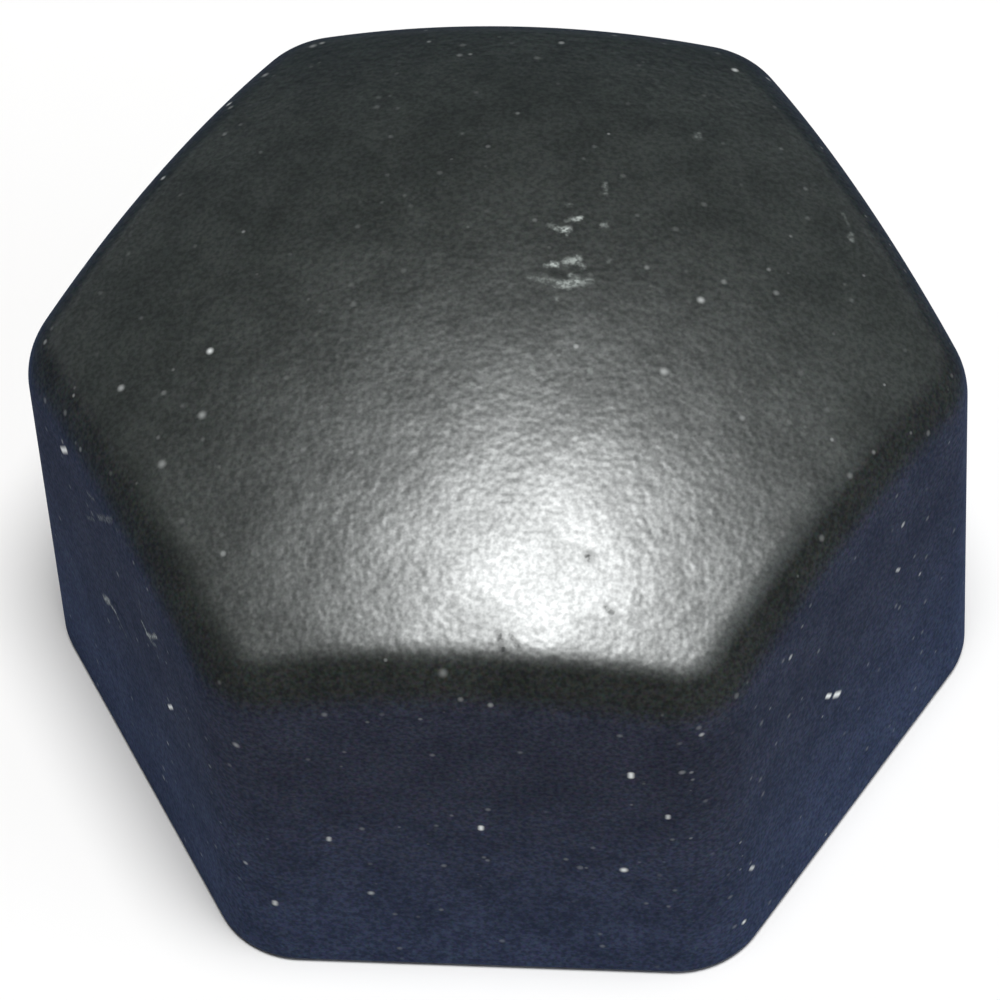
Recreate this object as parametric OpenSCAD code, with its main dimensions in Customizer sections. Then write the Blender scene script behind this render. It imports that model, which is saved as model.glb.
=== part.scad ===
// Cover cap for a hexagonal wheel nut: one thin moulded shell that is pushed over the nut.
// The cap stands on its rim at z = 0 and its domed top looks up, with one flat towards -Y.

/* [Wheel nut] */
// Size of the wheel nut across its flats
nut_af = 19; // [15:0.5:24]
// Gap between a flat of the nut and a flat of the socket, at the rim
slip = 0.2; // [0.15:0.05:0.4]
// Depth from the rim to the stops that meet the end of the nut
grip_depth = 9.5; // [7:0.1:13]
// Diameter left free between the stops for the end of the stud
stud_room = 15; // [12:0.5:17]

/* [Shell] */
// Thickness of the six sides
side_wall = 1.3; // [1:0.1:2]
// Thickness of the domed roof
roof_wall = 1.4; // [1:0.1:2]
// Radius of the outside of the dome
dome_r = 23.5; // [18:0.5:40]
// Taper of the sides from the rim up to the dome, in degrees
draft = 0.5; // [0.25:0.25:1.5]

/* [Edges] */
// Rounding between the dome and the flats
crown_r = 2; // [1.2:0.1:2.4]
// Rounding of the six upright edges
edge_r = 2.5; // [2.1:0.1:3.2]
// Rounding of the outer edge of the rim
rim_r = 0.25; // [0.1:0.05:0.4]
// Chamfer that leads the nut into the socket
lead_in = 0.3; // [0.1:0.05:0.5]

/* [Stops and grip ribs] */
// Height of a stop in its corner, from its foot to the roof
stop_h = 1.7; // [1:0.1:4]
// Thickness of a stop
stop_t = 0.9; // [0.6:0.1:1.6]
// Radius of the rounded grip rib on each flat of the socket
rib_r = 0.5; // [0.4:0.05:0.8]
// How far a grip rib stands out of its flat
rib_proud = 0.25; // [0.15:0.05:0.35]
// Height above the rim at which a grip rib begins
rib_start = 1.5; // [0.5:0.1:3]
// Length of the ramp at the lower end of a grip rib
rib_ramp = 1; // [0.5:0.1:2]

/* [Hidden] */

SIDES = 6;
HALF_SIDE = 180 / SIDES;
CAP_BLACK = [0.07, 0.075, 0.08];

// Facets of the lofted outer skin: along one edge rounding, along one flat, up the crown and over the dome
EDGE_STEPS = 8;
FLAT_STEPS = 14;
RIM_STEPS = 3;
CROWN_STEPS = 8;
DOME_STEPS = 12;
$fn = 96;

// Distances from the axis to a flat at the rim, inside and outside, and what a flat leans in for each mm of height
socket_in = nut_af / 2 + slip;
body_in = socket_in + side_wall;
lean = tan(draft);

// The roof meets the corners of the socket where the stops end, and that sets the height of the dome's centre
roof_r = dome_r - roof_wall;
corner_top = grip_depth + stop_h;
corner_out = (socket_in - lean * corner_top) / cos(HALF_SIDE);
dome_z = corner_top - sqrt(roof_r ^ 2 - corner_out ^ 2);
cap_h = dome_z + dome_r;

// Corner number k of a hexagon whose flats lie at the distance inset from its centre
function corner(k, inset) = inset / cos(HALF_SIDE) * [cos(2 * HALF_SIDE * k), sin(2 * HALF_SIDE * k)];

// The level direction that faces the angle turn
function level(turn) = [cos(turn), sin(turn)];

// Direction at the share t of the way from unit vector a to unit vector b
function between(a, b, t) =
    let (angle = acos(a * b))
    (sin((1 - t) * angle) * a + sin(t * angle) * b) / sin(angle);

// The level part of a direction in space, at unit length
function level_of(way) = [way.x, way.y] / norm([way.x, way.y]);

// Stations once round the body, each [facing angle, corner it leaves, share of the way to the next corner]
stations = [
    for (k = [0 : SIDES - 1])
        each concat(
            [for (i = [0 : EDGE_STEPS]) [2 * HALF_SIDE * k + HALF_SIDE * (2 * i / EDGE_STEPS - 1), k, 0]],
            [for (i = [1 : FLAT_STEPS - 1]) [HALF_SIDE * (2 * k + 1), k, i / FLAT_STEPS]]
        )
];

// Centre of the rounding at a station, for a hexagon with its flats at inset and its corners rounded to r
function centre_at(station, inset, r) =
    (1 - station[2]) * corner(station[1], inset - r) + station[2] * corner(station[1] + 1, inset - r);

// Point of that rounded hexagon at a station
function ring_at(station, inset, r) = centre_at(station, inset, r) + r * level(station[0]);

// Centre of the ball of radius crown_r that rolls inside the body, touching both the side and the dome.
// It moves up the leaning side by z until it lies crown_r inside the sphere of the dome.
function ball_at(station) =
    let (
        foot = ring_at(station, body_in - crown_r / cos(draft), edge_r - crown_r),
        slide = lean * centre_at(station, 1, 0),
        a = 1 + slide * slide,
        b = foot * slide + dome_z,
        c = foot * foot + dome_z ^ 2 - (dome_r - crown_r) ^ 2,
        z = (b + sqrt(b ^ 2 - a * c)) / a,
        at = foot - z * slide
    )
    [at.x, at.y, z];

// Point of the dome at an angle from the vertical and a turn about the axis
function dome_at(tilt, turn) = [0, 0, dome_z] + dome_r * [
    sin(tilt) * cos(turn), sin(tilt) * sin(turn), cos(tilt)
];

// Outline of the body at station number j, from the rim up the side, round the crown and over to the top.
// Stations lie close together at the edges, so on the dome they spread until they are even at the top.
function column(j) =
    let (
        station = stations[j],
        even_turn = 360 * (j - EDGE_STEPS / 2) / len(stations),
        rim = ring_at(station, body_in - rim_r, edge_r - rim_r),
        out = level(station[0]),
        ball = ball_at(station),
        side_way = [out.x * cos(draft), out.y * cos(draft), sin(draft)],
        dome_way = (ball - [0, 0, dome_z]) / (dome_r - crown_r),
        tilt = acos(dome_way.z),
        turn = even_turn + asin(cross(level(even_turn), level_of(dome_way)))
    )
    concat(
        [for (i = [0 : RIM_STEPS])
            let (roll = 90 * i / RIM_STEPS, at = rim + rim_r * sin(roll) * out)
            [at.x, at.y, rim_r * (1 - cos(roll))]],
        [for (i = [0 : CROWN_STEPS]) ball + crown_r * between(side_way, dome_way, i / CROWN_STEPS)],
        [for (i = [1 : DOME_STEPS - 1])
            let (share = i / DOME_STEPS)
            dome_at((1 - share) * tilt, (1 - share) * turn + share * even_turn)]
    );

// Outer skin without the hollow: the columns of all stations, closed by the rim below and the apex above
module body() {
    around = len(stations);
    columns = [for (j = [0 : around - 1]) column(j)];
    tiers = len(columns[0]);
    points = [for (tier = [0 : tiers - 1]) for (j = [0 : around - 1]) columns[j][tier]];
    apex = around * tiers;
    panels = [
        for (tier = [0 : tiers - 2])
            for (j = [0 : around - 1])
                let (
                    low = tier * around + j,
                    low_next = tier * around + (j + 1) % around,
                    high = low + around,
                    high_next = low_next + around
                )
                each [[low, high, high_next], [low, high_next, low_next]]
    ];
    top = [for (j = [0 : around - 1]) [apex - around + j, apex, apex - around + (j + 1) % around]];
    bottom = [for (j = [0 : around - 1]) j];
    polyhedron(points = concat(points, [[0, 0, cap_h]]), faces = concat(panels, top, [bottom]));
}

// One pair of opposite socket flats, as a slab that runs past the body along the flats.
// Its lead-in slopes at 45 degrees and goes on below the rim, so that the cut is clean.
module socket_slab() {
    below = socket_in + 2 * lead_in;
    bore = socket_in - lean * lead_in;
    top = socket_in - lean * cap_h;
    rotate([90, 0, 90])
        linear_extrude(height = 4 * body_in, center = true)
            polygon([
                [-below, -lead_in], [-bore, lead_in], [-top, cap_h],
                [top, cap_h], [bore, lead_in], [below, -lead_in]
            ]);
}

// Hexagonal socket with leaning flats, roofed by a sphere inside the dome
module socket() {
    intersection() {
        socket_slab();
        rotate(2 * HALF_SIDE) socket_slab();
        rotate(4 * HALF_SIDE) socket_slab();
        translate([0, 0, dome_z]) sphere(r = roof_r);
    }
}

// Upright web that hangs from the roof in a corner and stops the nut
module stop() {
    translate([stud_room / 2, -stop_t / 2, grip_depth])
        cube([body_in, stop_t, cap_h]);
}

// Rounded rib up the middle of a flat, with a ramp at its lower end, that grips the nut
module grip_rib() {
    translate([socket_in - lean * rib_start + rib_r - rib_proud, 0, rib_start]) {
        cylinder(h = rib_ramp, r1 = rib_r - rib_proud, r2 = rib_r);
        translate([0, 0, rib_ramp]) cylinder(h = cap_h, r = rib_r);
    }
}

module cap() {
    color(CAP_BLACK)
        difference() {
            body();
            difference() {
                socket();
                for (k = [0 : SIDES - 1]) {
                    rotate(2 * HALF_SIDE * k) stop();
                    rotate(HALF_SIDE * (2 * k + 1)) grip_rib();
                }
            }
        }
}

cap();
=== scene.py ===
"""A cover cap for a wheel nut: one black moulded shell, hexagonal, with a domed top.

The cap is worked out as one closed skin of rings, carried from the top of the dome down the outside, round
the rim and up the inside of the socket. Sizes are in metres, +Z is up and the cap stands on its rim.
"""

import logging
import math
from dataclasses import dataclass
from enum import Enum

import bpy
import numpy as np
from mathutils import Matrix, Vector
from mathutils.bvhtree import BVHTree


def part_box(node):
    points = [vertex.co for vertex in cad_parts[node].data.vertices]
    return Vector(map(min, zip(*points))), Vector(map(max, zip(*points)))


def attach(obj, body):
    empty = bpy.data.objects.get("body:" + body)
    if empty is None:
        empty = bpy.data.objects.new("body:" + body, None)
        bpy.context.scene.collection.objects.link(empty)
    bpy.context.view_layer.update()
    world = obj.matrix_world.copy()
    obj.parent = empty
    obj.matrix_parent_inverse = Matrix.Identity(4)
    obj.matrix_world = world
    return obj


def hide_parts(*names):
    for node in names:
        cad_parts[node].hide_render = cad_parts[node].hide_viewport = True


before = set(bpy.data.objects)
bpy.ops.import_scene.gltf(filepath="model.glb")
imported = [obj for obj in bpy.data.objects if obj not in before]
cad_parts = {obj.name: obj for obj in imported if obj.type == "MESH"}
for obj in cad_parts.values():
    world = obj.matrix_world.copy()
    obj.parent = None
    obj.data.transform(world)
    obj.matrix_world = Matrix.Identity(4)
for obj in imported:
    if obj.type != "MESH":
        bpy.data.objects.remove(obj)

MM = 0.001
CAP_NODE = "cap"
BODY = "root"
PIECE = "cover_cap"
UPWARD = "upward"
SIDES = 6
HALF_SIDE = math.pi / SIDES
FULL_TURN = 2.0 * math.pi
SHARP_ANGLE = math.radians(32.0)
PHOTO_PIXELS = 1000
SENSOR_WIDTH = 36.0
NEAREST_SEEN = 10.0 * MM
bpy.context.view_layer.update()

log = logging.getLogger(PIECE)

Socket = bpy.types.NodeSocket
Value = Socket | float | tuple
Colour = tuple[float, float, float]
Pixel = tuple[float, float]
Range = tuple[float, float]


def level(turn: np.ndarray) -> np.ndarray:
    """Level unit vectors that face the angles turn, along a new last axis."""
    return np.stack([np.cos(turn), np.sin(turn)], axis=-1)


def unit(vectors: np.ndarray) -> np.ndarray:
    """The vectors along the last axis, divided by their lengths."""
    return vectors / np.linalg.norm(vectors, axis=-1, keepdims=True)


def lifted(plan: np.ndarray, height: np.ndarray | float) -> np.ndarray:
    """Points of a plan view, raised to a height each."""
    return np.concatenate([plan, np.broadcast_to(height, plan.shape[:-1])[..., None]], axis=-1)


def once_round(steps: int) -> np.ndarray:
    """Angles spread evenly once round, in that many steps."""
    return np.linspace(0.0, FULL_TURN, steps + 1)[:-1]


def bearing(azimuth: float, elevation: float) -> np.ndarray:
    """Unit vector (sin a cos e, -cos a cos e, sin e) for the azimuth a and the elevation e, in degrees."""
    turn, lift = math.radians(azimuth), math.radians(elevation)
    return np.array([math.sin(turn) * math.cos(lift), -math.cos(turn) * math.cos(lift), math.sin(lift)])


def between(first: np.ndarray, last: np.ndarray, shares: np.ndarray) -> np.ndarray:
    """Turns unit vectors from first to last along the shortest arc.

    Args:
        first: Unit vectors, one for each column.
        last: Unit vectors, one for each column or one for all.
        shares: How far along the arc each row lies, from 0 to 1.

    Returns:
        Rows by columns by 3: (sin((1 - s) a) first + sin(s a) last) / sin(a), for the share s and angle a.
    """
    angle = np.arccos(np.clip((first * last).sum(-1), -1.0, 1.0))[None, :, None]
    share = shares[:, None, None]
    return (np.sin((1.0 - share) * angle) * first + np.sin(share * angle) * last) / np.sin(angle)


@dataclass(frozen=True)
class Stations:
    """Places once round a hexagon with rounded corners.

    Attributes:
        facing: The angle that the outline faces there.
        corner: The number of the corner that the station leaves.
        share: Its share of the way to the next corner, 0 all round a corner's rounding.
        even_turn: The angle that it would have if all stations were spread evenly.
    """

    facing: np.ndarray
    corner: np.ndarray
    share: np.ndarray
    even_turn: np.ndarray

    @classmethod
    def lay_out(cls, edge_steps: int, flat_steps: int) -> "Stations":
        """Spreads stations round each corner's arc and along each flat.

        Args:
            edge_steps: Steps round one corner.
            flat_steps: Steps along one flat.

        Returns:
            The stations, from the first arc's start, anticlockwise.
        """
        arc = HALF_SIDE * np.linspace(-1.0, 1.0, edge_steps + 1)
        along = np.linspace(0.0, 1.0, flat_steps + 1)[1:-1]
        turn = np.concatenate([arc, np.full(along.shape, HALF_SIDE)])
        share = np.concatenate([np.zeros(arc.shape), along])
        corner = np.arange(SIDES)
        facing = (turn[None, :] + 2.0 * HALF_SIDE * corner[:, None]).ravel()
        count = facing.size
        return cls(
            facing=facing,
            corner=np.repeat(corner, turn.size),
            share=np.tile(share, SIDES),
            even_turn=FULL_TURN * (np.arange(count) - edge_steps / 2.0) / count,
        )

    def centre(self, inset: float, radius: float) -> np.ndarray:
        """Centres of the rounding, on the hexagon whose flats lie at inset - radius.

        Args:
            inset: From the axis to a flat of the rounded hexagon.
            radius: Radius of its corners.

        Returns:
            Points in plan: a corner of that hexagon, or a share of the way along one of its sides.
        """
        reach = (inset - radius) / math.cos(HALF_SIDE)
        here = reach * level(2.0 * HALF_SIDE * self.corner)
        there = reach * level(2.0 * HALF_SIDE * (self.corner + 1))
        return here + self.share[:, None] * (there - here)

    def ring(self, inset: float, radius: float) -> np.ndarray:
        """Outline of a hexagon with its flats at inset and its corners rounded to radius, in plan."""
        return self.centre(inset, radius) + radius * level(self.facing)


@dataclass(frozen=True)
class RingSkin:
    """A closed skin of rings, from one pole to another.

    Attributes:
        first_pole: The point that closes the first ring.
        rings: Rows by columns by 3. Each ring runs anticlockwise, seen from above.
        last_pole: The point that closes the last ring.
    """

    first_pole: np.ndarray
    rings: np.ndarray
    last_pole: np.ndarray

    def vertices(self) -> np.ndarray:
        """All points: the first pole, the rings in order and the last pole."""
        return np.concatenate([self.first_pole[None, :], self.rings.reshape(-1, 3), self.last_pole[None, :]])

    def faces(self) -> tuple[np.ndarray, np.ndarray]:
        """Quads between neighbouring rings and the triangles at both poles, as vertex numbers.

        Row i and column j have the number 1 + i n + j, for n columns, and a quad joins it with its neighbours
        below and to the left. Where the rings start at the top they face outwards.

        Returns:
            The quads and the triangles, a row of numbers for each.
        """
        rows, columns, _ = self.rings.shape
        number = 1 + np.arange(rows * columns).reshape(rows, columns)
        ahead = np.roll(number, -1, axis=1)
        quads = np.stack([number[:-1], number[1:], ahead[1:], ahead[:-1]], axis=-1).reshape(-1, 4)
        end = rows * columns + 1
        top = np.stack([np.zeros(columns, dtype=int), number[0], ahead[0]], axis=-1)
        bottom = np.stack([number[-1], np.full(columns, end), ahead[-1]], axis=-1)
        return quads, np.concatenate([top, bottom])


def mesh_from(name: str, skins: list[RingSkin]) -> bpy.types.Mesh:
    """Puts one or more closed skins into one new mesh.

    Args:
        name: The mesh's name.
        skins: The skins, which stay separate shells.

    Returns:
        The mesh, filled with foreach_set from whole arrays.
    """
    points, corners, sizes = [], [], []
    offset = 0
    for skin in skins:
        for faces in skin.faces():
            corners.append((faces + offset).ravel())
            sizes.append(np.full(len(faces), faces.shape[1]))
        points.append(skin.vertices())
        offset += len(points[-1])
    points = np.concatenate(points)
    corners = np.concatenate(corners)
    sizes = np.concatenate(sizes)
    mesh = bpy.data.meshes.new(name)
    mesh.vertices.add(len(points))
    mesh.vertices.foreach_set("co", points.astype(np.float32).ravel())
    mesh.loops.add(len(corners))
    mesh.loops.foreach_set("vertex_index", corners.astype(np.int32))
    mesh.polygons.add(len(sizes))
    mesh.polygons.foreach_set("loop_start", (np.cumsum(sizes) - sizes).astype(np.int32))
    mesh.update(calc_edges=True)
    mesh.validate()
    return mesh


def shown(name: str, data: bpy.types.ID) -> bpy.types.Object:
    """Links a new object to the scene.

    Args:
        name: The object's name.
        data: Its mesh, camera or lamp.

    Returns:
        The object.
    """
    item = bpy.data.objects.new(name, data)
    bpy.context.scene.collection.objects.link(item)
    return item


@dataclass(frozen=True)
class PhotoView:
    """The photograph's camera: where it stands round the cap and how long its lens is.

    Attributes:
        azimuth: Angle to the right of the front, in degrees.
        elevation: Angle above the horizon, in degrees.
        roll: Turn of the camera about its own axis, in degrees.
        distance: From the target to the lens.
        target: The point on the floor in the middle of the picture.
        focal_length: In millimetres, for the sensor's width.
    """

    azimuth: float = 7.14
    elevation: float = 54.18
    roll: float = -4.09
    distance: float = 176.13 * MM
    target: tuple[float, float, float] = (-0.632 * MM, 4.175 * MM, 0.0)
    focal_length: float = 228.75

    def axes(self) -> np.ndarray:
        """The camera's own directions.

        Back runs from the target to the lens. Right is level and up is square to both, until the roll turns
        them about back.

        Returns:
            Right, up and back as the columns of a matrix.
        """
        turn, roll = math.radians(self.azimuth), math.radians(self.roll)
        back = bearing(self.azimuth, self.elevation)
        right = np.array([math.cos(turn), math.sin(turn), 0.0])
        up = np.cross(back, right)
        rolled_right = math.cos(roll) * right + math.sin(roll) * up
        rolled_up = math.cos(roll) * up - math.sin(roll) * right
        return np.stack([rolled_right, rolled_up, back], axis=1)

    def place(self) -> np.ndarray:
        """Where the lens stands."""
        return np.array(self.target) + self.distance * self.axes()[:, 2]

    def ray(self, pixel: Pixel) -> np.ndarray:
        """Direction in which the camera sees a pixel of the photograph.

        Args:
            pixel: Columns from the left and rows from the top.

        Returns:
            A unit vector: right by its columns from the middle and down by its rows, a focal length ahead.
        """
        middle = PHOTO_PIXELS / 2.0
        focal_pixels = self.focal_length / SENSOR_WIDTH * PHOTO_PIXELS
        across, down = (pixel[0] - middle) / focal_pixels, (pixel[1] - middle) / focal_pixels
        return unit(self.axes() @ np.array([across, -down, -1.0]))

    def build(self) -> None:
        """Makes the camera and gives it to the scene."""
        data = bpy.data.cameras.new("camera")
        data.sensor_fit = "HORIZONTAL"
        data.sensor_width = SENSOR_WIDTH
        data.lens = self.focal_length
        data.clip_start = NEAREST_SEEN
        camera = shown("camera", data)
        turn = Matrix(self.axes().tolist()).to_4x4()
        camera.matrix_world = Matrix.Translation(Vector(self.place().tolist())) @ turn
        bpy.context.scene.camera = camera


@dataclass(frozen=True)
class Steps:
    """How finely each part of the cap is divided.

    Attributes:
        dome: Rings of the dome.
        crown: Rings of the rounding round it.
        side: Rings of the sides.
        rim: Rings of the rim's outer edge.
        socket: Rings of the socket's flats.
        roof: Rings under the roof.
        stop: Points once round a stop.
        rib: Points once round a grip rib.
        settle: Rounds in which the height settles where the socket's flats meet its roof.
    """

    dome: int = 64
    crown: int = 18
    side: int = 44
    rim: int = 5
    socket: int = 14
    roof: int = 10
    stop: int = 48
    rib: int = 40
    settle: int = 12


@dataclass(frozen=True)
class CapForm:
    """The cap's sizes, and the surfaces that follow from them.

    Attributes:
        half_flats: From the axis to a flat, at the rim.
        height: From the rim to the top of the dome.
        dome_radius: Radius of the dome.
        crown_radius: Radius of the rounding between the dome and the flats.
        edge_radius: Radius of the upright edges.
        rim_radius: Radius of the rim's outer edge.
        lean: Angle at which the sides lean in.
        side_wall: Thickness of the sides.
        roof_wall: Thickness of the roof.
        lead_in: Size of the chamfer at the socket's mouth.
        socket_corner: Radius of the socket's corners.
        grip_depth: From the rim to the feet of the stops.
        stud_room: Diameter that the stops leave free.
        stop_thickness: Thickness of a stop.
        rib_radius: Radius of a grip rib.
        rib_proud: How far a rib stands out of its flat.
        rib_start: From the rim to a rib's foot.
        rib_ramp: Length of the cone at its foot.
    """

    half_flats: float
    height: float
    dome_radius: float = 23.5 * MM
    crown_radius: float = 2.0 * MM
    edge_radius: float = 2.5 * MM
    rim_radius: float = 0.25 * MM
    lean: float = math.radians(0.5)
    side_wall: float = 1.3 * MM
    roof_wall: float = 1.4 * MM
    lead_in: float = 0.3 * MM
    socket_corner: float = 0.25 * MM
    grip_depth: float = 9.5 * MM
    stud_room: float = 15.0 * MM
    stop_thickness: float = 0.9 * MM
    rib_radius: float = 0.5 * MM
    rib_proud: float = 0.25 * MM
    rib_start: float = 1.5 * MM
    rib_ramp: float = 1.0 * MM

    @classmethod
    def from_frame(cls) -> "CapForm":
        """Reads the width across the flats, which lie along Y, and the height from the cap's solid."""
        low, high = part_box(CAP_NODE)
        return cls(half_flats=(high[1] - low[1]) / 2.0, height=high[2] - low[2])

    @property
    def dome_centre(self) -> np.ndarray:
        """Centre of the dome's sphere."""
        return np.array([0.0, 0.0, self.height - self.dome_radius])

    def leaned(self, inset: float, height: float) -> float:
        """Distance of a flat from the axis at a height, where it is inset at the rim."""
        return inset - height * math.tan(self.lean)

    def balls(self, stations: Stations) -> np.ndarray:
        """Centres of a ball that touches the side and the dome from inside, one for each station.

        A centre starts on the hexagon that lies one crown radius inside the flats. It rises by z, and slides
        inwards with the lean, until its distance from the dome's centre is the dome's radius less its own.
        That is a quadratic a z^2 - 2 b z + c = 0.

        Args:
            stations: The columns.

        Returns:
            A point for each column.
        """
        foot = stations.ring(
            self.half_flats - self.crown_radius / math.cos(self.lean), self.edge_radius - self.crown_radius
        )
        slide = math.tan(self.lean) * stations.centre(1.0, 0.0)
        low = self.dome_centre[2]
        a = 1.0 + (slide**2).sum(-1)
        b = (foot * slide).sum(-1) + low
        c = (foot**2).sum(-1) + low**2 - (self.dome_radius - self.crown_radius) ** 2
        rise = (b + np.sqrt(b**2 - a * c)) / a
        return lifted(foot - rise[:, None] * slide, rise)

    def outside(self, stations: Stations, steps: Steps) -> np.ndarray:
        """Rings of the outer skin, from just below the top of the dome down to the rim.

        On the dome, a ring's points have shares of their column's last angle from the vertical, and their
        turn about the axis goes from an even spread at the top to their column's own. Round the crown they
        lie on the balls, and below it on straight lines down the leaning sides to the rim's rounding.

        Args:
            stations: The columns.
            steps: The number of rings in each part.

        Returns:
            Rows by columns by 3.
        """
        ball = self.balls(stations)
        dome_way = unit(ball - self.dome_centre)
        side_way = lifted(math.cos(self.lean) * level(stations.facing), math.sin(self.lean))
        tilt = np.arccos(dome_way[:, 2])
        own_turn = np.arctan2(dome_way[:, 1], dome_way[:, 0])
        extra = (own_turn - stations.even_turn + math.pi) % FULL_TURN - math.pi
        share = np.linspace(0.0, 1.0, steps.dome + 1)[1:-1, None]
        tilts = share * tilt
        turned = np.sin(tilts)[..., None] * level(stations.even_turn + share * extra)
        dome = self.dome_centre + self.dome_radius * lifted(turned, np.cos(tilts))
        shares = np.linspace(0.0, 1.0, steps.crown + 1)
        crown = ball + self.crown_radius * between(dome_way, side_way, shares)
        rim_ring = stations.ring(self.half_flats - self.rim_radius, self.edge_radius - self.rim_radius)
        roll = np.linspace(0.0, math.pi / 2.0, steps.rim + 1)[:, None, None]
        rim_plan = rim_ring + self.rim_radius * np.cos(roll) * level(stations.facing)
        rim = lifted(rim_plan, self.rim_radius * (1.0 - np.sin(roll[..., 0])))
        down = np.linspace(0.0, 1.0, steps.side + 1)[1:-1, None, None]
        side = crown[-1] + down * (rim[0] - crown[-1])
        return np.concatenate([dome, crown, side, rim])

    def inside(self, stations: Stations, steps: Steps) -> np.ndarray:
        """Rings of the socket, from the mouth up its leaning flats and in under the roof.

        The roof is a sphere about the dome's centre. A ring of it is the top ring of the socket, drawn in
        towards the axis by a share and raised to the sphere.

        Args:
            stations: The columns.
            steps: The number of rings in each part.

        Returns:
            Rows by columns by 3.
        """
        socket = self.half_flats - self.side_wall
        mouth = lifted(stations.ring(socket + self.lead_in, self.socket_corner + self.lead_in), 0.0)
        foot_plan = stations.ring(self.leaned(socket, self.lead_in), self.socket_corner)
        foot = lifted(foot_plan, self.lead_in)
        slide = math.tan(self.lean) * stations.centre(1.0, 0.0)
        roof = self.dome_radius - self.roof_wall
        top = foot[:, 2]
        for _ in range(steps.settle):
            plan = foot[:, :2] - (top - self.lead_in)[:, None] * slide
            top = self.dome_centre[2] + np.sqrt(roof**2 - (plan**2).sum(-1))
        rise = np.linspace(0.0, 1.0, steps.socket + 1)[:, None, None]
        walls = foot + rise * (lifted(plan, top) - foot)
        share = np.linspace(1.0, 0.0, steps.roof + 1)[1:-1, None, None]
        drawn = share * plan
        roofs = lifted(drawn, self.dome_centre[2] + np.sqrt(roof**2 - (drawn**2).sum(-1)))
        return np.concatenate([mouth[None], walls, roofs])

    def mid_roof(self, plan: np.ndarray) -> np.ndarray:
        """Height of the middle of the roof's thickness over points of the plan."""
        middle = self.dome_radius - self.roof_wall / 2.0
        return self.dome_centre[2] + np.sqrt(middle**2 - (plan**2).sum(-1))

    def stops(self, points: int) -> list[RingSkin]:
        """The upright webs in the corners, from their feet up into the roof and out into the wall.

        A web's plan is a slim oblong with rounded ends: two half circles of its thickness, a length apart.

        Args:
            points: Points once round a web.

        Returns:
            A skin for each corner.
        """
        radius = self.stop_thickness / 2.0
        inner = self.stud_room / 2.0 + radius
        outer = (self.half_flats - self.side_wall) / math.cos(HALF_SIDE)
        round_web = level(once_round(points))
        middle = np.where(round_web[:, :1] > 0.0, [outer, 0.0], [inner, 0.0])
        plan = middle + radius * round_web
        turns = [2.0 * HALF_SIDE * number for number in range(SIDES)]
        return [self.upright(plan, turn, [self.grip_depth]) for turn in turns]

    def ribs(self, points: int) -> list[RingSkin]:
        """The grip ribs up the middle of the flats: a cylinder sunk in the wall, with a cone at its foot.

        Args:
            points: Points once round a rib.

        Returns:
            A skin for each flat.
        """
        flat = self.leaned(self.half_flats - self.side_wall, self.rib_start)
        axis = flat + self.rib_radius - self.rib_proud
        middle = np.array([axis, 0.0])
        plan = middle + self.rib_radius * level(once_round(points))
        slim = middle + (plan - middle) * (1.0 - self.rib_proud / self.rib_radius)
        heights = [self.rib_start + self.rib_ramp, self.rib_start]
        turns = [HALF_SIDE * (2 * number + 1) for number in range(SIDES)]
        return [self.upright(plan, turn, heights, slim) for turn in turns]

    def upright(
        self, plan: np.ndarray, turn: float, heights: list[float], foot: np.ndarray | None = None
    ) -> RingSkin:
        """A solid that stands on a plan and ends in the middle of the roof.

        Args:
            plan: The outline, anticlockwise, for a solid on the X axis.
            turn: How far it is turned about the cap's axis.
            heights: Heights of its lower rings, the highest first.
            foot: The outline of the lowest ring, where it is another.

        Returns:
            Its closed skin, from the roof down.
        """
        spin = np.array([[math.cos(turn), math.sin(turn)], [-math.sin(turn), math.cos(turn)]])
        outlines = [plan] * len(heights) if foot is None else [plan] * (len(heights) - 1) + [foot]
        rings = [lifted(plan @ spin, self.mid_roof(plan))]
        rings += [lifted(outline @ spin, height) for outline, height in zip(outlines, heights)]
        return RingSkin(rings[0].mean(axis=0), np.stack(rings), rings[-1].mean(axis=0))


class Finder:
    """Finds the point of the cap that the photograph shows at a pixel."""

    def __init__(self, view: PhotoView, skin: RingSkin) -> None:
        """Keeps the view and a search tree of the skin's faces.

        Args:
            view: The photograph's camera.
            skin: The cap's skin.
        """
        self.view = view
        faces = [face for kind in skin.faces() for face in kind.tolist()]
        self.tree = BVHTree.FromPolygons(skin.vertices().tolist(), faces)

    def point(self, pixel: Pixel) -> np.ndarray:
        """Follows the camera's ray through a pixel.

        Args:
            pixel: Columns from the left and rows from the top.

        Returns:
            The first point of the skin on the ray.
        """
        origin = Vector(self.view.place().tolist())
        hit = self.tree.ray_cast(origin, Vector(self.view.ray(pixel).tolist()))[0]
        if hit is None:
            raise ValueError(f"the photograph's pixel {pixel} lies off the cap")
        return np.array(hit)


class MarkKind(Enum):
    """What a mark on the cap's surface is. The number is its place among the masks of the finish."""

    DUST = 0  # a pale grain of dust that sits on the surface
    SCUFF = 1  # a rubbed, paler streak
    # the third kind also holds painted shade beside scuffs, scratches and dents
    NICK_AND_PAINTED_SHADE = 2  # a dark nick or smear without gloss


@dataclass(frozen=True)
class Mark:
    """A mark on the surface, where the photograph shows one.

    Attributes:
        kind: What it is.
        strength: How much of the surface it hides, from 0 to 1.
        width: Its width on the cap, where it is half as strong as in its middle.
        pixels: The pixels that it runs through. A round mark has one.
    """

    kind: MarkKind
    strength: float
    width: float
    pixels: tuple[Pixel, ...]


def marks_of(kind: MarkKind, *rows: tuple) -> tuple[Mark, ...]:
    """Marks of one kind, from rows of a strength, a width in millimetres and the pixels."""
    return tuple(Mark(kind, strength, width * MM, tuple(pixels)) for strength, width, *pixels in rows)


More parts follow.
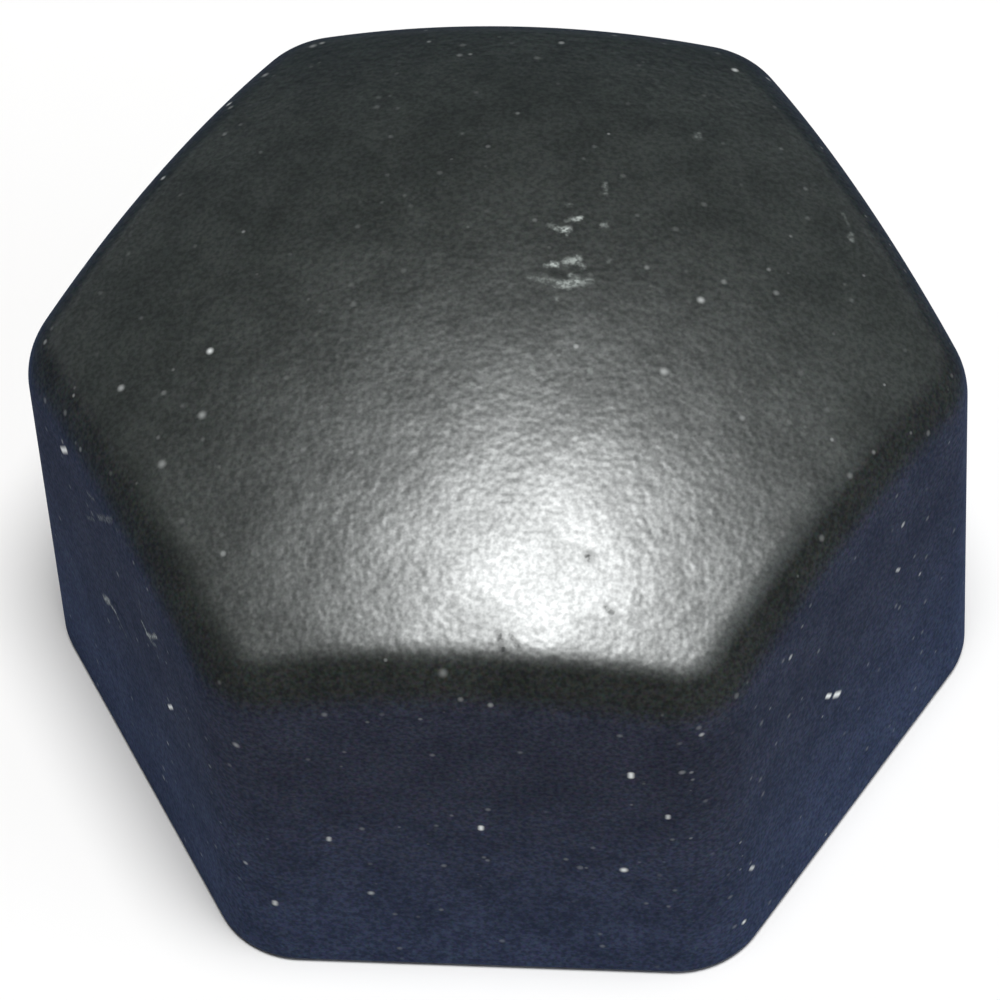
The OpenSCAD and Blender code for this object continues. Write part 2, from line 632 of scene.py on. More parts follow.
@dataclass(frozen=True)
class MarkMap:
    """Writes the marks near each face onto it, so that the finish works out only those.

    Attributes:
        find: Finds the point of the cap behind a pixel.
        layers: How many marks a face can have.
        reach: How far a face's corners lie from its middle, at most.
    """

    find: Finder
    layers: int = 4
    reach: float = 0.2 * MM

    def write(self, mesh: bpy.types.Mesh, marks: tuple[Mark, ...]) -> None:
        """Stores each face's nearest marks in the mesh's attributes.

        The distance of a face's middle M from the line from S to E is |M - S - t (E - S)|, where t is
        (M - S).(E - S) / |E - S|^2, kept from 0 to 1. For a round mark S is E, and t is 0. A mark that ends
        further away than the face reaches gets the strength 0 there.

        Args:
            mesh: The cap's mesh.
            marks: The marks, of which each step from one pixel to the next is a line.
        """
        starts, ends, widths, strays, strengths = self._lines(marks)
        middles = np.empty(3 * len(mesh.polygons), dtype=np.float32)
        mesh.polygons.foreach_get("center", middles)
        offset = middles.reshape(-1, 1, 3) - starts
        run = ends - starts
        square = (run**2).sum(-1)
        share = np.clip((offset * run).sum(-1) / np.where(square > 0.0, square, 1.0), 0.0, 1.0)
        away = np.linalg.norm(offset - share[..., None] * run, axis=-1) - widths
        nearest = np.argsort(away, axis=1)[:, : self.layers]
        near = np.take_along_axis(away, nearest, axis=1) < self.reach
        for layer in range(self.layers):
            pick = nearest[:, layer]
            values = {
                "Start": starts[pick],
                "End": ends[pick],
                "Strength": strengths[pick] * near[:, layer, None],
                "Width": widths[pick],
                "Stray": strays[pick],
            }
            for part, numbers in values.items():
                kind, field = ("FLOAT_VECTOR", "vector") if numbers.ndim == 2 else ("FLOAT", "value")
                attribute = mesh.attributes.new(self.name(layer, part), kind, "FACE")
                attribute.data.foreach_set(field, numbers.astype(np.float32).ravel())

    def _lines(self, marks: tuple[Mark, ...]) -> tuple[np.ndarray, ...]:
        """Works out the lines of all the marks.

        Args:
            marks: The marks.

        Returns:
            The lines' starts, ends and widths, whether their edges stray, which those of dust don't, and
            their strengths, each at the place of its kind.
        """
        rows = []
        for mark in marks:
            points = [self.find.point(pixel) for pixel in mark.pixels]
            strength = mark.strength * np.eye(len(MarkKind))[mark.kind.value]
            ends = points[1:] or points
            stray = float(mark.kind is not MarkKind.DUST)
            rows += [(start, end, mark.width, stray, strength) for start, end in zip(points, ends)]
        return tuple(np.array(column, dtype=np.float32) for column in zip(*rows))

    @staticmethod
    def name(layer: int, part: str) -> str:
        """Name of the attribute that holds one part of a layer's marks."""
        return f"mark_{layer}_{part}"


class Sheet:
    """A node tree that is filled by short calls.

    A Mix node's sockets for colours share their names with those for numbers, so they go by number.
    """

    NOISE_ROUGHNESS = 0.6
    MIX_FIRST, MIX_LAST, MIX_RESULT = 6, 7, 2

    def __init__(self, tree: bpy.types.NodeTree) -> None:
        """Keeps the tree."""
        self.tree = tree

    def node(
        self, kind: str, inputs: dict[str | int, Value] | None = None, **settings: object
    ) -> bpy.types.Node:
        """Adds a node.

        Args:
            kind: The node's type, such as ShaderNodeMath.
            inputs: A value or a socket to link for each input, by name or number.
            settings: The node's own settings.

        Returns:
            The node.
        """
        node = self.tree.nodes.new(kind)
        for name, value in settings.items():
            setattr(node, name, value)
        for name, value in (inputs or {}).items():
            if isinstance(value, Socket):
                self.tree.links.new(value, node.inputs[name])
            else:
                node.inputs[name].default_value = value
        return node

    def math(self, operation: str, *values: Value, clamp: bool = False) -> Socket:
        """A Math node's result for up to three values."""
        node = self.node("ShaderNodeMath", dict(enumerate(values)), operation=operation, use_clamp=clamp)
        return node.outputs[0]

    def vector(self, operation: str, *values: Value, output: str = "Vector") -> Socket:
        """A Vector Math node's result."""
        return self.node("ShaderNodeVectorMath", dict(enumerate(values)), operation=operation).outputs[output]

    def scaled(self, vector: Value, factor: Value) -> Socket:
        """A vector or colour times a number."""
        inputs = {0: vector, "Scale": factor}
        return self.node("ShaderNodeVectorMath", inputs, operation="SCALE").outputs["Vector"]

    def ramp(self, value: Socket, low: Value, high: Value, start: Value = 0.0, end: Value = 1.0) -> Socket:
        """The value, carried smoothly from the range low to high to the range start to end, and clamped."""
        inputs = {"Value": value, "From Min": low, "From Max": high, "To Min": start, "To Max": end}
        return self.node("ShaderNodeMapRange", inputs, interpolation_type="SMOOTHSTEP").outputs["Result"]

    def blend(self, share: Value, first: Value, last: Value) -> Socket:
        """The number at that share of the way from first to last."""
        inputs = {"Factor": share, "A": first, "B": last}
        return self.node("ShaderNodeMix", inputs, data_type="FLOAT").outputs["Result"]

    def tint(self, share: Value, first: Value, last: Value) -> Socket:
        """A colour on the way between two.

        Args:
            share: How far on the way from first to last it lies.
            first: A socket or a colour.
            last: A socket or a colour.

        Returns:
            The colour.
        """
        inputs = {"Factor": share}
        for number, value in ((self.MIX_FIRST, first), (self.MIX_LAST, last)):
            inputs[number] = value if isinstance(value, Socket) else (*value, 1.0)
        return self.node("ShaderNodeMix", inputs, data_type="RGBA").outputs[self.MIX_RESULT]

    def noise(self, place: Socket, scale: Value, detail: float, output: str = "Fac") -> Socket:
        """Noise with scale cells to the metre, and with that many finer layers."""
        inputs = {"Vector": place, "Scale": scale, "Detail": detail, "Roughness": self.NOISE_ROUGHNESS}
        return self.node("ShaderNodeTexNoise", inputs, noise_dimensions="3D").outputs[output]


class Effects:
    """The shader node groups of the finish, each built once.

    A speck's radius is the group's Radius times a share that starts at SMALLEST, and it has its full strength
    up to CORE of that radius. Its strength lies between FAINTEST and BRIGHTEST.
    """

    SMALLEST = 0.5
    CORE = 0.2
    FAINTEST = 0.1
    BRIGHTEST = 0.5
    RARITY = 8.0

    def __init__(self) -> None:
        """Builds the groups."""
        self.specks = self._specks()
        self.mark = self._mark()

    @staticmethod
    def _group(name: str, inputs: dict[str, str], output: str) -> tuple[Sheet, dict[str, Socket], Socket]:
        """Makes an empty group that puts out one mask.

        Args:
            name: The group's name.
            inputs: Socket types by name.
            output: Socket type of the mask.

        Returns:
            The sheet to fill, its inputs by name, and the mask to link to.
        """
        tree = bpy.data.node_groups.new(name, "ShaderNodeTree")
        for socket, kind in inputs.items():
            tree.interface.new_socket(socket, in_out="INPUT", socket_type=kind)
        tree.interface.new_socket("Mask", in_out="OUTPUT", socket_type=output)
        sheet = Sheet(tree)
        entry = sheet.node("NodeGroupInput")
        given = {socket: entry.outputs[socket] for socket in inputs}
        return sheet, given, sheet.node("NodeGroupOutput").inputs["Mask"]

    def _specks(self) -> bpy.types.NodeTree:
        """Scattered specks: most are faint and small, and a few are bright.

        Each cell of a random lattice has one. The cell's first random number gives its radius. The second,
        raised to the power RARITY, gives its strength.

        Returns:
            The group.
        """
        kinds = {"Place": "NodeSocketVector", "Scale": "NodeSocketFloat", "Radius": "NodeSocketFloat"}
        sheet, given, mask = self._group("scattered_specks", kinds, "NodeSocketFloat")
        inputs = {"Vector": given["Place"], "Scale": given["Scale"]}
        cells = sheet.node("ShaderNodeTexVoronoi", inputs, feature="F1")
        chances = sheet.node("ShaderNodeSeparateColor", {"Color": cells.outputs["Color"]}).outputs
        share = sheet.math("MULTIPLY_ADD", chances[0], 1.0 - self.SMALLEST, self.SMALLEST)
        radius = sheet.math("MULTIPLY", given["Radius"], share)
        spot = sheet.ramp(cells.outputs["Distance"], radius, sheet.math("MULTIPLY", radius, self.CORE))
        rare = sheet.math("POWER", chances[1], self.RARITY)
        strength = sheet.math("MULTIPLY_ADD", rare, self.BRIGHTEST - self.FAINTEST, self.FAINTEST)
        sheet.tree.links.new(sheet.math("MULTIPLY", spot, strength), mask)
        return sheet.tree

    def _mark(self) -> bpy.types.NodeTree:
        """A mark along a straight line from Start to End, or round where they are one point.

        The line's point nearest to P is S + t (E - S). Here t is (P - S).(E - S) / |E - S|^2, kept from 0
        to 1. The mask is the Strength on the line, and falls smoothly to nothing at the Width away from it.
        P is the Place, moved by the Shift where the mark's edges stray.

        Returns:
            The group.
        """
        kinds = dict.fromkeys(("Place", "Shift", "Start", "End", "Strength"), "NodeSocketVector")
        kinds |= dict.fromkeys(("Width", "Stray"), "NodeSocketFloat")
        sheet, given, mask = self._group("mark", kinds, "NodeSocketVector")
        place = sheet.vector("ADD", given["Place"], sheet.scaled(given["Shift"], given["Stray"]))
        offset = sheet.vector("SUBTRACT", place, given["Start"])
        run = sheet.vector("SUBTRACT", given["End"], given["Start"])
        dot = sheet.vector("DOT_PRODUCT", offset, run, output="Value")
        square = sheet.vector("DOT_PRODUCT", run, run, output="Value")
        share = sheet.math("DIVIDE", dot, square, clamp=True)
        away = sheet.vector("DISTANCE", offset, sheet.scaled(run, share), output="Value")
        sheet.tree.links.new(sheet.scaled(given["Strength"], sheet.ramp(away, given["Width"], 0.0)), mask)
        return sheet.tree


@dataclass(frozen=True)
class MouldedBlack:
    """Black moulded plastic: a satin dome, a dull crown, dull sides with a painted bluish reflection, wear
    and dust.

    Attributes:
        dome_colour: Colour of the dome.
        crown_colour: Colour of the rounding round the dome.
        side_black_with_painted_blue: Colour of the sides, below the crown: the black plastic with painted
            bluish reflected light.
        rim_painted_bounce_colour: Colour of the sides at the rim: painted bluish bounce light from the floor.
        painted_bounce_height: Height up to which the painted bounce fades into the sides' own colour.
        dust_colour: Colour of dust.
        scuff_colour: Colour of rubbed streaks.
        dome_roughness: Roughness of the dome, under its coat.
        side_roughness: Roughness of the sides.
        gloss: Specular level below the coat.
        coat: Weight of the coat on the dome.
        coat_roughness: Its roughness.
        coat_index: Its refractive index.
        facing: How far the surface turns from the eye where the coat starts to fade, and where it is gone.
        satin_from: How far up the surface looks where the coat starts, and where it is whole.
        crown_from: How far up it looks where the crown's colour starts, and where it is whole.
        sheen: Weight of the bluish sheen at glancing angles.
        sheen_roughness: Its roughness.
        sheen_tint: Its colour.
        grain_size: Size of the mould's grain.
        grain_depth: Depth of the grain.
        grain_detail: How many finer layers the grain has.
        dot_size: Size of the fine dots of the surface.
        dot_detail: How many finer layers the dots have.
        dot_range: The dots' noise where they are darkest, and where they are lightest.
        dot_shade: How much lighter and darker the dots are, from 0 to 1.
        dot_gloss: How much glossier and duller they are, from 0 to 1.
        hue_spread: How far each of the three colours strays from spot to spot, from 0 to 1.
        patch_size: Size of the broad patches.
        patch_detail: How many finer layers the patches have.
        patch_range: The patches' noise where they are darkest, and where they are lightest.
        patch_shade: How much lighter and darker the patches are, from 0 to 1.
        rub_range: The dots' noise where scuffs, nicks and painted shade are weakest, and where they are
            strongest.
        rub_strength: Their strength at those two.
        worn_roughness: How much rougher dust and scuffs are.
        nick_and_shade_left: What is left of the colour in nicks, smears and painted shade.
        speck_spacing: Size of the cells that have a speck each.
        speck_radius: Radius of the largest specks.
        dome_specks: Strength of the specks on the dome, against those on the sides.
        raggedness: How far the edges of the marks stray, and over what length.
    """

    dome_colour: Colour = (0.009, 0.0135, 0.0105)
    crown_colour: Colour = (0.021, 0.023, 0.021)
    # the blue in the sides' colour is painted reflected light; the plastic itself is black
    side_black_with_painted_blue: Colour = (0.029, 0.031, 0.044)
    rim_painted_bounce_colour: Colour = (0.033, 0.041, 0.072)
    painted_bounce_height: float = 10.0 * MM
    dust_colour: Colour = (0.88, 0.90, 0.89)
    scuff_colour: Colour = (0.40, 0.43, 0.41)
    dome_roughness: float = 0.42
    side_roughness: float = 1.0
    gloss: float = 0.03
    coat: float = 0.94
    coat_roughness: float = 0.41
    coat_index: float = 2.2
    facing: Range = (0.34, 0.62)
    satin_from: Range = (0.68, 0.905)
    crown_from: Range = (0.12, 0.5)
    sheen: float = 0.05
    sheen_roughness: float = 0.5
    sheen_tint: Colour = (0.12, 0.36, 1.0)
    grain_size: float = 0.30 * MM
    grain_depth: float = 0.014 * MM
    grain_detail: float = 1.0
    dot_size: float = 0.13 * MM
    dot_detail: float = 1.0
    dot_range: Range = (0.25, 0.75)
    dot_shade: float = 0.32
    dot_gloss: float = 0.2
    hue_spread: float = 0.5
    patch_size: float = 1.6 * MM
    patch_detail: float = 2.0
    patch_range: Range = (0.3, 0.7)
    patch_shade: float = 0.15
    rub_range: Range = (0.35, 0.62)
    rub_strength: Range = (0.35, 1.15)
    worn_roughness: float = 0.4
    nick_and_shade_left: float = 0.3
    speck_spacing: float = 0.67 * MM
    speck_radius: float = 0.13 * MM
    dome_specks: float = 0.55
    raggedness: float = 0.09 * MM

    def build(self, effects: Effects, layers: int) -> bpy.types.Material:
        """Makes the material.

        Args:
            effects: The node groups.
            layers: How many marks each face of the piece has.

        Returns:
            The material, with every pattern on Object coordinates and the marks on the piece's attributes.
        """
        material = bpy.data.materials.new("moulded_black")
        material.use_nodes = True
        sheet = Sheet(material.node_tree)
        place = sheet.node("ShaderNodeTexCoord").outputs["Object"]
        upward = sheet.node("ShaderNodeAttribute", attribute_name=UPWARD).outputs["Fac"]
        aslant = sheet.node("ShaderNodeLayerWeight", {"Blend": 0.5}).outputs["Facing"]
        grain = sheet.noise(place, 1.0 / self.grain_size, self.grain_detail)
        dots = sheet.noise(place, 1.0 / self.dot_size, self.dot_detail)
        patches = sheet.noise(place, 1.0 / self.patch_size, self.patch_detail)
        inputs = {"Place": place, "Scale": 1.0 / self.speck_spacing}
        inputs["Radius"] = self.speck_radius / self.speck_spacing
        specks = sheet.node("ShaderNodeGroup", inputs, node_tree=effects.specks).outputs["Mask"]
        wander = sheet.noise(place, 1.0 / self.raggedness, 0.0, "Color")
        shift = sheet.scaled(sheet.vector("SUBTRACT", wander, (0.5, 0.5, 0.5)), self.raggedness)
        masks = self._masks(sheet, effects, place, shift, layers)
        # The third mask holds nicks and smears, and the painted shade beside scuffs, scratches and dents.
        dust, scuff, nick_and_shade = sheet.node("ShaderNodeSeparateXYZ", {"Vector": masks}).outputs
        rubbed = sheet.ramp(dots, *self.rub_range, *self.rub_strength)
        scuff, nick_and_shade = (sheet.math("MULTIPLY", mask, rubbed, clamp=True) for mask in (scuff, nick_and_shade))

        satin = sheet.ramp(upward, *self.satin_from)
        specks = sheet.math("MULTIPLY", specks, sheet.blend(satin, 1.0, self.dome_specks))
        dusty = sheet.math("MAXIMUM", dust, specks)
        worn = sheet.math("MAXIMUM", dusty, scuff)

        # The sides grow bluer towards the rim: painted bounce light from the floor, fading out by
        # painted_bounce_height.
        height = sheet.node("ShaderNodeSeparateXYZ", {"Vector": place}).outputs["Z"]
        side = sheet.tint(sheet.ramp(height, 0.0, self.painted_bounce_height), self.rim_painted_bounce_colour, self.side_black_with_painted_blue)
        plain = sheet.tint(sheet.ramp(upward, *self.crown_from), side, self.crown_colour)
        plain = sheet.tint(satin, plain, self.dome_colour)
        mottle = sheet.ramp(patches, *self.patch_range, 1.0 - self.patch_shade, 1.0 + self.patch_shade)
        fine = sheet.ramp(dots, *self.dot_range, 1.0 - self.dot_shade, 1.0 + self.dot_shade)
        shade = sheet.math("MULTIPLY", mottle, fine)
        spread, least = ((value,) * 3 for value in (self.hue_spread, 1.0 - self.hue_spread / 2.0))
        plain = sheet.vector("MULTIPLY", plain, sheet.vector("MULTIPLY_ADD", wander, spread, least))
        # Nicks, smears and the painted shade beside scuffs, scratches and dents keep only part of the colour.
        plain = sheet.scaled(plain, sheet.math("MULTIPLY", shade, sheet.blend(nick_and_shade, 1.0, self.nick_and_shade_left)))
        scuffed = sheet.tint(scuff, plain, self.scuff_colour)
        colour = sheet.tint(dusty, scuffed, self.dust_colour)

        rough = sheet.blend(satin, self.side_roughness, self.dome_roughness)
        rough = sheet.math("MULTIPLY_ADD", worn, self.worn_roughness, rough, clamp=True)

        clean = sheet.math("SUBTRACT", 1.0, sheet.math("MAXIMUM", worn, nick_and_shade), clamp=True)
        open_sky = sheet.ramp(aslant, *self.facing, 1.0, 0.0)
        coat = sheet.math("MULTIPLY", sheet.math("MULTIPLY", satin, open_sky), clean)
        glint = sheet.ramp(dots, *self.dot_range, 1.0 - self.dot_gloss, 1.0 + self.dot_gloss)
        coat = sheet.math("MULTIPLY", coat, mottle)
        coat = sheet.math("MULTIPLY", coat, sheet.math("MULTIPLY", glint, self.coat))

        relief = sheet.math("MULTIPLY", grain, self.grain_depth)
        bump = sheet.node("ShaderNodeBump", {"Height": relief, "Distance": 1.0}).outputs["Normal"]

        shader = sheet.tree.nodes["Principled BSDF"].inputs
        varied = {"Base Color": colour, "Roughness": rough, "Coat Weight": coat}
        for name, socket in (varied | {"Normal": bump, "Coat Normal": bump}).items():
            sheet.tree.links.new(socket, shader[name])
        constants = {
            "Specular IOR Level": self.gloss,
            "Coat Roughness": self.coat_roughness,
            "Coat IOR": self.coat_index,
            "Sheen Weight": self.sheen,
            "Sheen Roughness": self.sheen_roughness,
            "Sheen Tint": (*self.sheen_tint, 1.0),
        }
        for name, value in constants.items():
            shader[name].default_value = value
        return material

    @staticmethod
    def _masks(sheet: Sheet, effects: Effects, place: Socket, shift: Socket, layers: int) -> Socket:
        """The masks of the marks.

        Args:
            sheet: The material's tree.
            effects: The node groups.
            place: Where the surface is shaded.
            shift: How far that is moved for marks whose edges stray.
            layers: How many marks each face has.

        Returns:
            Dust, scuffs, and nicks with painted shade as X, Y and Z: at each place, the strongest of the
            marks on the face.
        """
        total = None
        for layer in range(layers):
            inputs = {"Place": place, "Shift": shift}
            for part in ("Start", "End", "Strength", "Width", "Stray"):
                attribute = sheet.node("ShaderNodeAttribute", attribute_name=MarkMap.name(layer, part))
                inputs[part] = attribute.outputs["Fac" if part in ("Width", "Stray") else "Vector"]
            mask = sheet.node("ShaderNodeGroup", inputs, node_tree=effects.mark).outputs["Mask"]
            total = mask if total is None else sheet.vector("MAXIMUM", total, mask)
        return total


UPPER_SCUFFS = marks_of(
    MarkKind.SCUFF,
    (0.22, 0.15, (569, 205)),
    (0.2, 0.12, (566, 221), (573, 218)),
    (0.95, 0.13, (575, 219), (580, 218)),
    (0.2, 0.15, (550, 225), (557, 228)),
    (0.55, 0.14, (557, 228), (563, 230)),
    (1.0, 0.16, (563, 230), (568, 229)),
    (0.35, 0.10, (567, 230), (567, 234)),
    (0.42, 0.15, (603, 225), (606, 225)),
    (0.26, 0.11, (605, 183), (605, 189)),
    (0.3, 0.10, (606, 194)),
)
LOWER_SCUFFS = marks_of(
    MarkKind.SCUFF,
    (0.45, 0.14, (547, 265), (553, 264)),
    (1.0, 0.16, (553, 264), (556, 264)),
    (0.22, 0.14, (562, 263)),
    (0.7, 0.19, (567, 262), (572, 261), (577, 259)),
    (0.45, 0.12, (580, 263), (584, 267)),
    (0.3, 0.16, (530, 279), (545, 280), (556, 283)),
    (0.75, 0.21, (558, 284), (568, 285), (577, 281)),
    (0.45, 0.14, (571, 276), (577, 281)),
    (0.42, 0.16, (578, 284), (590, 281)),
    (0.28, 0.12, (557, 299)),
    (0.15, 0.15, (609, 261)),
)
LEFT_SCRATCHES = marks_of(
    MarkKind.SCUFF,
    (0.75, 0.20, (105, 599), (109, 601)),
    (0.7, 0.11, (110, 604), (115, 611), (118, 618)),
    (0.14, 0.09, (119, 620), (126, 636)),
    (0.6, 0.10, (142, 622), (147, 633)),
    (0.95, 0.13, (147, 634), (151, 637)),
    (0.65, 0.11, (151, 637), (156, 636)),
    (0.22, 0.11, (150, 640), (156, 646)),
    (0.12, 0.07, (139, 601), (142, 616)),
)
LEFT_CROWN_RUBS = marks_of(
    MarkKind.SCUFF,
    (0.2, 0.11, (88, 494), (95, 501)),
    (0.2, 0.10, (87, 517), (94, 520)),
    (0.24, 0.15, (98, 517), (111, 520)),
    (0.12, 0.12, (117, 530)),
)
BACK_CROWN_RUBS = marks_of(
    MarkKind.SCUFF,
    (0.3, 0.14, (851, 234), (851, 240)),
    (0.14, 0.09, (843, 214), (848, 226)),
    (0.3, 0.15, (698, 134), (698, 138)),
)
PALE_SPOTS = marks_of(
    MarkKind.SCUFF,
    (0.35, 0.15, (472, 386)),
    (0.3, 0.16, (590, 371)),
    (0.25, 0.16, (531, 368)),
)
DUST_GRAINS = marks_of(
    MarkKind.DUST,
    (1.0, 0.15, (62, 450), (66, 450)),
    (1.0, 0.15, (835, 695), (839, 694)),
    (1.0, 0.12, (827, 696), (830, 696)),
    (1.0, 0.15, (624, 870)),
    (1.0, 0.11, (481, 827), (481, 829)),
    (0.95, 0.12, (631, 774), (631, 777)),
    (0.95, 0.11, (169, 707), (172, 707)),
    (0.75, 0.14, (210, 351)),
    (0.5, 0.14, (735, 70)),
    (0.9, 0.12, (744, 922)),
    (0.42, 0.15, (701, 300)),
    (0.5, 0.13, (229, 104)),
    (0.6, 0.12, (275, 902), (275, 904)),
    (0.35, 0.15, (121, 388)),
    (0.6, 0.10, (668, 816), (668, 818)),
    (0.6, 0.12, (751, 868), (753, 868)),
    (0.22, 0.12, (322, 43)),
    (0.32, 0.16, (664, 372)),
    (0.4, 0.13, (371, 893)),
    (0.45, 0.10, (897, 570), (899, 570)),
    (0.14, 0.17, (443, 673)),
    (0.4, 0.11, (163, 178)),
    (0.28, 0.17, (202, 415)),
    (0.22, 0.15, (265, 75)),
    (0.2, 0.15, (313, 46)),
    (0.24, 0.17, (162, 464)),
    (0.3, 0.15, (236, 745)),
    (0.5, 0.10, (329, 838), (329, 840)),
)
# Painted shade beside the scuffs: dark strokes without gloss.
SCUFF_SHADOWS = marks_of(
    MarkKind.NICK_AND_PAINTED_SHADE,
    (0.5, 0.12, (573, 268), (578, 266)),
    (0.45, 0.11, (577, 272), (584, 272), (591, 269)),
    (0.35, 0.09, (591, 269), (606, 270)),
    (0.5, 0.16, (552, 272), (562, 275), (570, 277)),
    (0.3, 0.15, (560, 290), (571, 290)),
    (0.35, 0.12, (584, 228)),
)
# The painted shade of a dent in the highlight, with smears and nicks near the crown, as dark dull spots.
PAINTED_DENT_SHADE_AND_SMEARS = marks_of(
    MarkKind.NICK_AND_PAINTED_SHADE,
    (0.78, 0.28, (589, 557)),
    (0.6, 0.15, (606, 607), (612, 613)),
    (0.25, 0.21, (615, 616)),
    (0.4, 0.11, (635, 592), (633, 600)),
    (0.68, 0.17, (499, 633), (502, 644), (504, 652)),
    (0.62, 0.13, (511, 634), (514, 640), (519, 647)),
    (0.25, 0.12, (482, 562), (488, 569)),
)
# Painted shade along the left scratches: dark strokes without gloss.
SCRATCH_SHADOWS = marks_of(
    MarkKind.NICK_AND_PAINTED_SHADE,
    (1.0, 0.13, (112, 602), (117, 605)),
    (0.85, 0.12, (118, 609), (124, 620), (131, 638)),
)
MARKS = (
    UPPER_SCUFFS + LOWER_SCUFFS + LEFT_SCRATCHES + LEFT_CROWN_RUBS + BACK_CROWN_RUBS + PALE_SPOTS
    + DUST_GRAINS + SCUFF_SHADOWS + PAINTED_DENT_SHADE_AND_SMEARS + SCRATCH_SHADOWS
)


@dataclass
class Cap:
    """The one moulded piece.

    Attributes:
        form: Its sizes and surfaces.
        effects: The node groups of its finish.
        finish: Its finish.
        view: The photograph's camera, by which the marks are placed.
        steps: How many rings each part of its skin has.
        edge_steps: Steps round one of its upright edges.
        flat_steps: Steps along one of its flats.
    """

    form: CapForm
    effects: Effects
    finish: MouldedBlack
    view: PhotoView
    steps: Steps = Steps()
    edge_steps: int = 20
    flat_steps: int = 56

    def build(self) -> bpy.types.Object:
        """Makes the cap's mesh, dresses it and puts it in the place of its solid.

        Returns:
            The piece.
        """
        form, steps = self.form, self.steps
        stations = Stations.lay_out(self.edge_steps, self.flat_steps)
        top = form.dome_centre + [0.0, 0.0, form.dome_radius]
        rings = np.concatenate([form.outside(stations, steps), form.inside(stations, steps)])
        skin = RingSkin(top, rings, top - [0.0, 0.0, form.roof_wall])
        shell = shown("shell", mesh_from("shell", [skin]))
        inner = shown("inner", mesh_from("inner", form.stops(steps.stop) + form.ribs(steps.rib)))
        piece = self._joined(shell, inner)
        self._mark_upward(piece.data)
        marks = MarkMap(Finder(self.view, skin))
        marks.write(piece.data, MARKS)
        piece.data.materials.append(self.finish.build(self.effects, marks.layers))
        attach(piece, BODY)
        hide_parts(CAP_NODE)
        return piece

    @staticmethod
    def _joined(shell: bpy.types.Object, inner: bpy.types.Object) -> bpy.types.Object:
        """Fuses the stops and ribs with the shell into one closed mesh.

        Args:
            shell: The cap's closed skin.
            inner: The stops and the ribs, which reach into it.

        Returns:
            A new object. Both others are deleted.
        """
        union = shell.modifiers.new("fuse", "BOOLEAN")
        union.operation = "UNION"
        union.solver = "MANIFOLD"
        union.object = inner
        graph = bpy.context.evaluated_depsgraph_get()
        mesh = bpy.data.meshes.new_from_object(shell.evaluated_get(graph))
        mesh.name = PIECE
        mesh.materials.clear()
        for spare in (shell, inner):
            bpy.data.meshes.remove(spare.data)
        mesh.shade_smooth()
        mesh.set_sharp_from_angle(angle=SHARP_ANGLE)
        return shown(PIECE, mesh)

    @staticmethod
    def _mark_upward(mesh: bpy.types.Mesh) -> None:
        """Stores how far up each vertex looks: its normal's height from 0 to 1, and 0 where it looks down.

        Args:
            mesh: The cap's mesh.
        """
        normals = np.empty(3 * len(mesh.vertices), dtype=np.float32)
        mesh.vertices.foreach_get("normal", normals)
        attribute = mesh.attributes.new(UPWARD, "FLOAT", "POINT")
        attribute.data.foreach_set("value", np.clip(normals[2::3], 0.0, 1.0))


@dataclass(frozen=True)
class Softbox:
    """A large, far softbox, as a sun lamp, so that the whole floor gets the same light.

    Attributes:
        name: The lamp's name.
        azimuth: Angle to the right of the front, in degrees.
        elevation: Angle above the floor, in degrees.
        spread: The angle that the softbox spans, in degrees.
        strength: Light on a surface that faces it, in watts per square metre.
        colour: Colour of its light.
    """

    name: str
    azimuth: float
    elevation: float
    spread: float
    strength: float
    colour: Colour

    def build(self) -> None:
        """Makes the lamp, above the cap and turned to it."""
        way = Vector(bearing(self.azimuth, self.elevation).tolist())
        data = bpy.data.lights.new(self.name, "SUN")
        data.angle = math.radians(self.spread)
        data.energy = self.strength
        data.color = self.colour
        lamp = shown(self.name, data)
        lamp.matrix_world = Matrix.Translation(way) @ way.to_track_quat("Z", "Y").to_matrix().to_4x4()


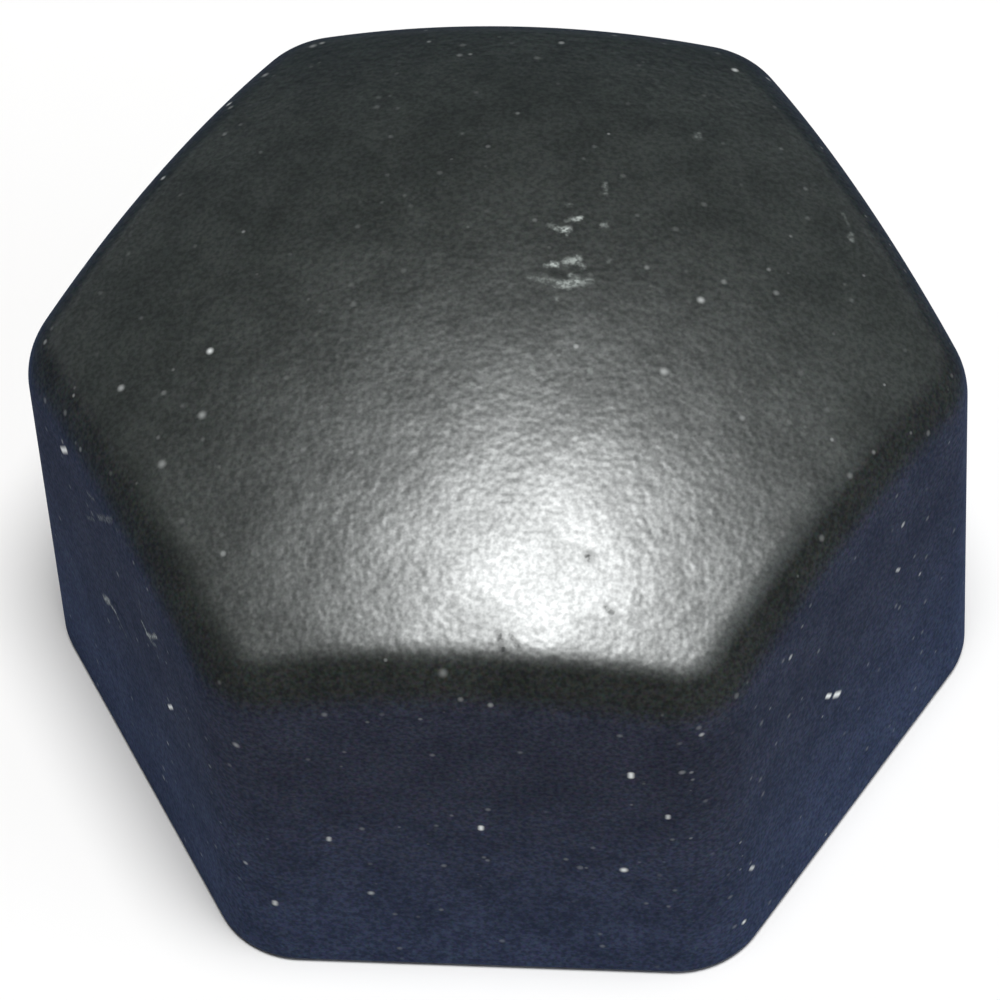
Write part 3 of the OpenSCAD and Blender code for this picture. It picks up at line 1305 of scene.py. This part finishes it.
@dataclass(frozen=True)
class Studio:
    """The pale floor, soft light all round, a key light nearly overhead and a low light from the right.

    Attributes:
        floor_radius: Radius of the round floor.
        floor_colour: Its colour.
        floor_points: Points once round it.
        horizon: Strength of the light from the horizon.
        zenith: Strength of the light from straight above.
        key: The key light.
        side: The side light, which is faint and a little cooler.
    """

    floor_radius: float = 3.0
    floor_colour: Colour = (0.90, 0.88, 0.875)
    floor_points: int = 96
    horizon: float = 0.02
    zenith: float = 0.17
    key: Softbox = Softbox(
        "key_light", azimuth=35.2, elevation=81.6, spread=23.3, strength=3.2, colour=(0.98, 1.0, 1.0)
    )
    side: Softbox = Softbox(
        "side_light", azimuth=70.0, elevation=18.0, spread=50.0, strength=0.6, colour=(0.88, 0.95, 1.0)
    )

    def build(self) -> None:
        """Makes the floor, the world and the lamps."""
        self._floor()
        self._world()
        self.key.build()
        self.side.build()

    def _floor(self) -> None:
        """A round plain floor: one face through points once round a circle."""
        plan = self.floor_radius * level(once_round(self.floor_points))
        mesh = bpy.data.meshes.new("floor")
        mesh.from_pydata(lifted(plan, 0.0).tolist(), [], [list(range(len(plan)))])
        material = bpy.data.materials.new("pale_floor")
        material.use_nodes = True
        shader = material.node_tree.nodes["Principled BSDF"].inputs
        shader["Base Color"].default_value = (*self.floor_colour, 1.0)
        shader["Roughness"].default_value = 1.0
        shader["Specular IOR Level"].default_value = 0.0
        mesh.materials.append(material)
        shown("floor", mesh)

    def _world(self) -> None:
        """Neutral light from all round: horizon + (zenith - horizon) z^2, for a direction's height z."""
        world = bpy.data.worlds.new("surroundings")
        world.use_nodes = True
        bpy.context.scene.world = world
        sheet = Sheet(world.node_tree)
        way = sheet.node("ShaderNodeTexCoord").outputs["Generated"]
        height = sheet.node("ShaderNodeSeparateXYZ", {"Vector": way}).outputs["Z"]
        square = sheet.math("MULTIPLY", height, height)
        strength = sheet.math("MULTIPLY_ADD", square, self.zenith - self.horizon, self.horizon)
        background = sheet.tree.nodes["Background"].inputs
        background["Color"].default_value = (1.0, 1.0, 1.0, 1.0)
        sheet.tree.links.new(strength, background["Strength"])


def corners(box: tuple[Vector, Vector]) -> list[list[float]]:
    """A box's two corners as plain lists."""
    return [[float(value) for value in corner] for corner in box]


def main() -> None:
    """Builds the camera, the cap and the studio, in order."""
    logging.basicConfig(level=logging.INFO, format="%(message)s")
    view = PhotoView()
    view.build()
    cap = Cap(CapForm.from_frame(), Effects(), MouldedBlack(), view).build()
    log.info("cap: %d vertices, %d faces", len(cap.data.vertices), len(cap.data.polygons))
    Studio().build()
    log.info("studio: a pale floor, a key light, a side light and even light all round")
    bpy.context.scene.view_settings.view_transform = "Standard"


if __name__ == "__main__":
    main()
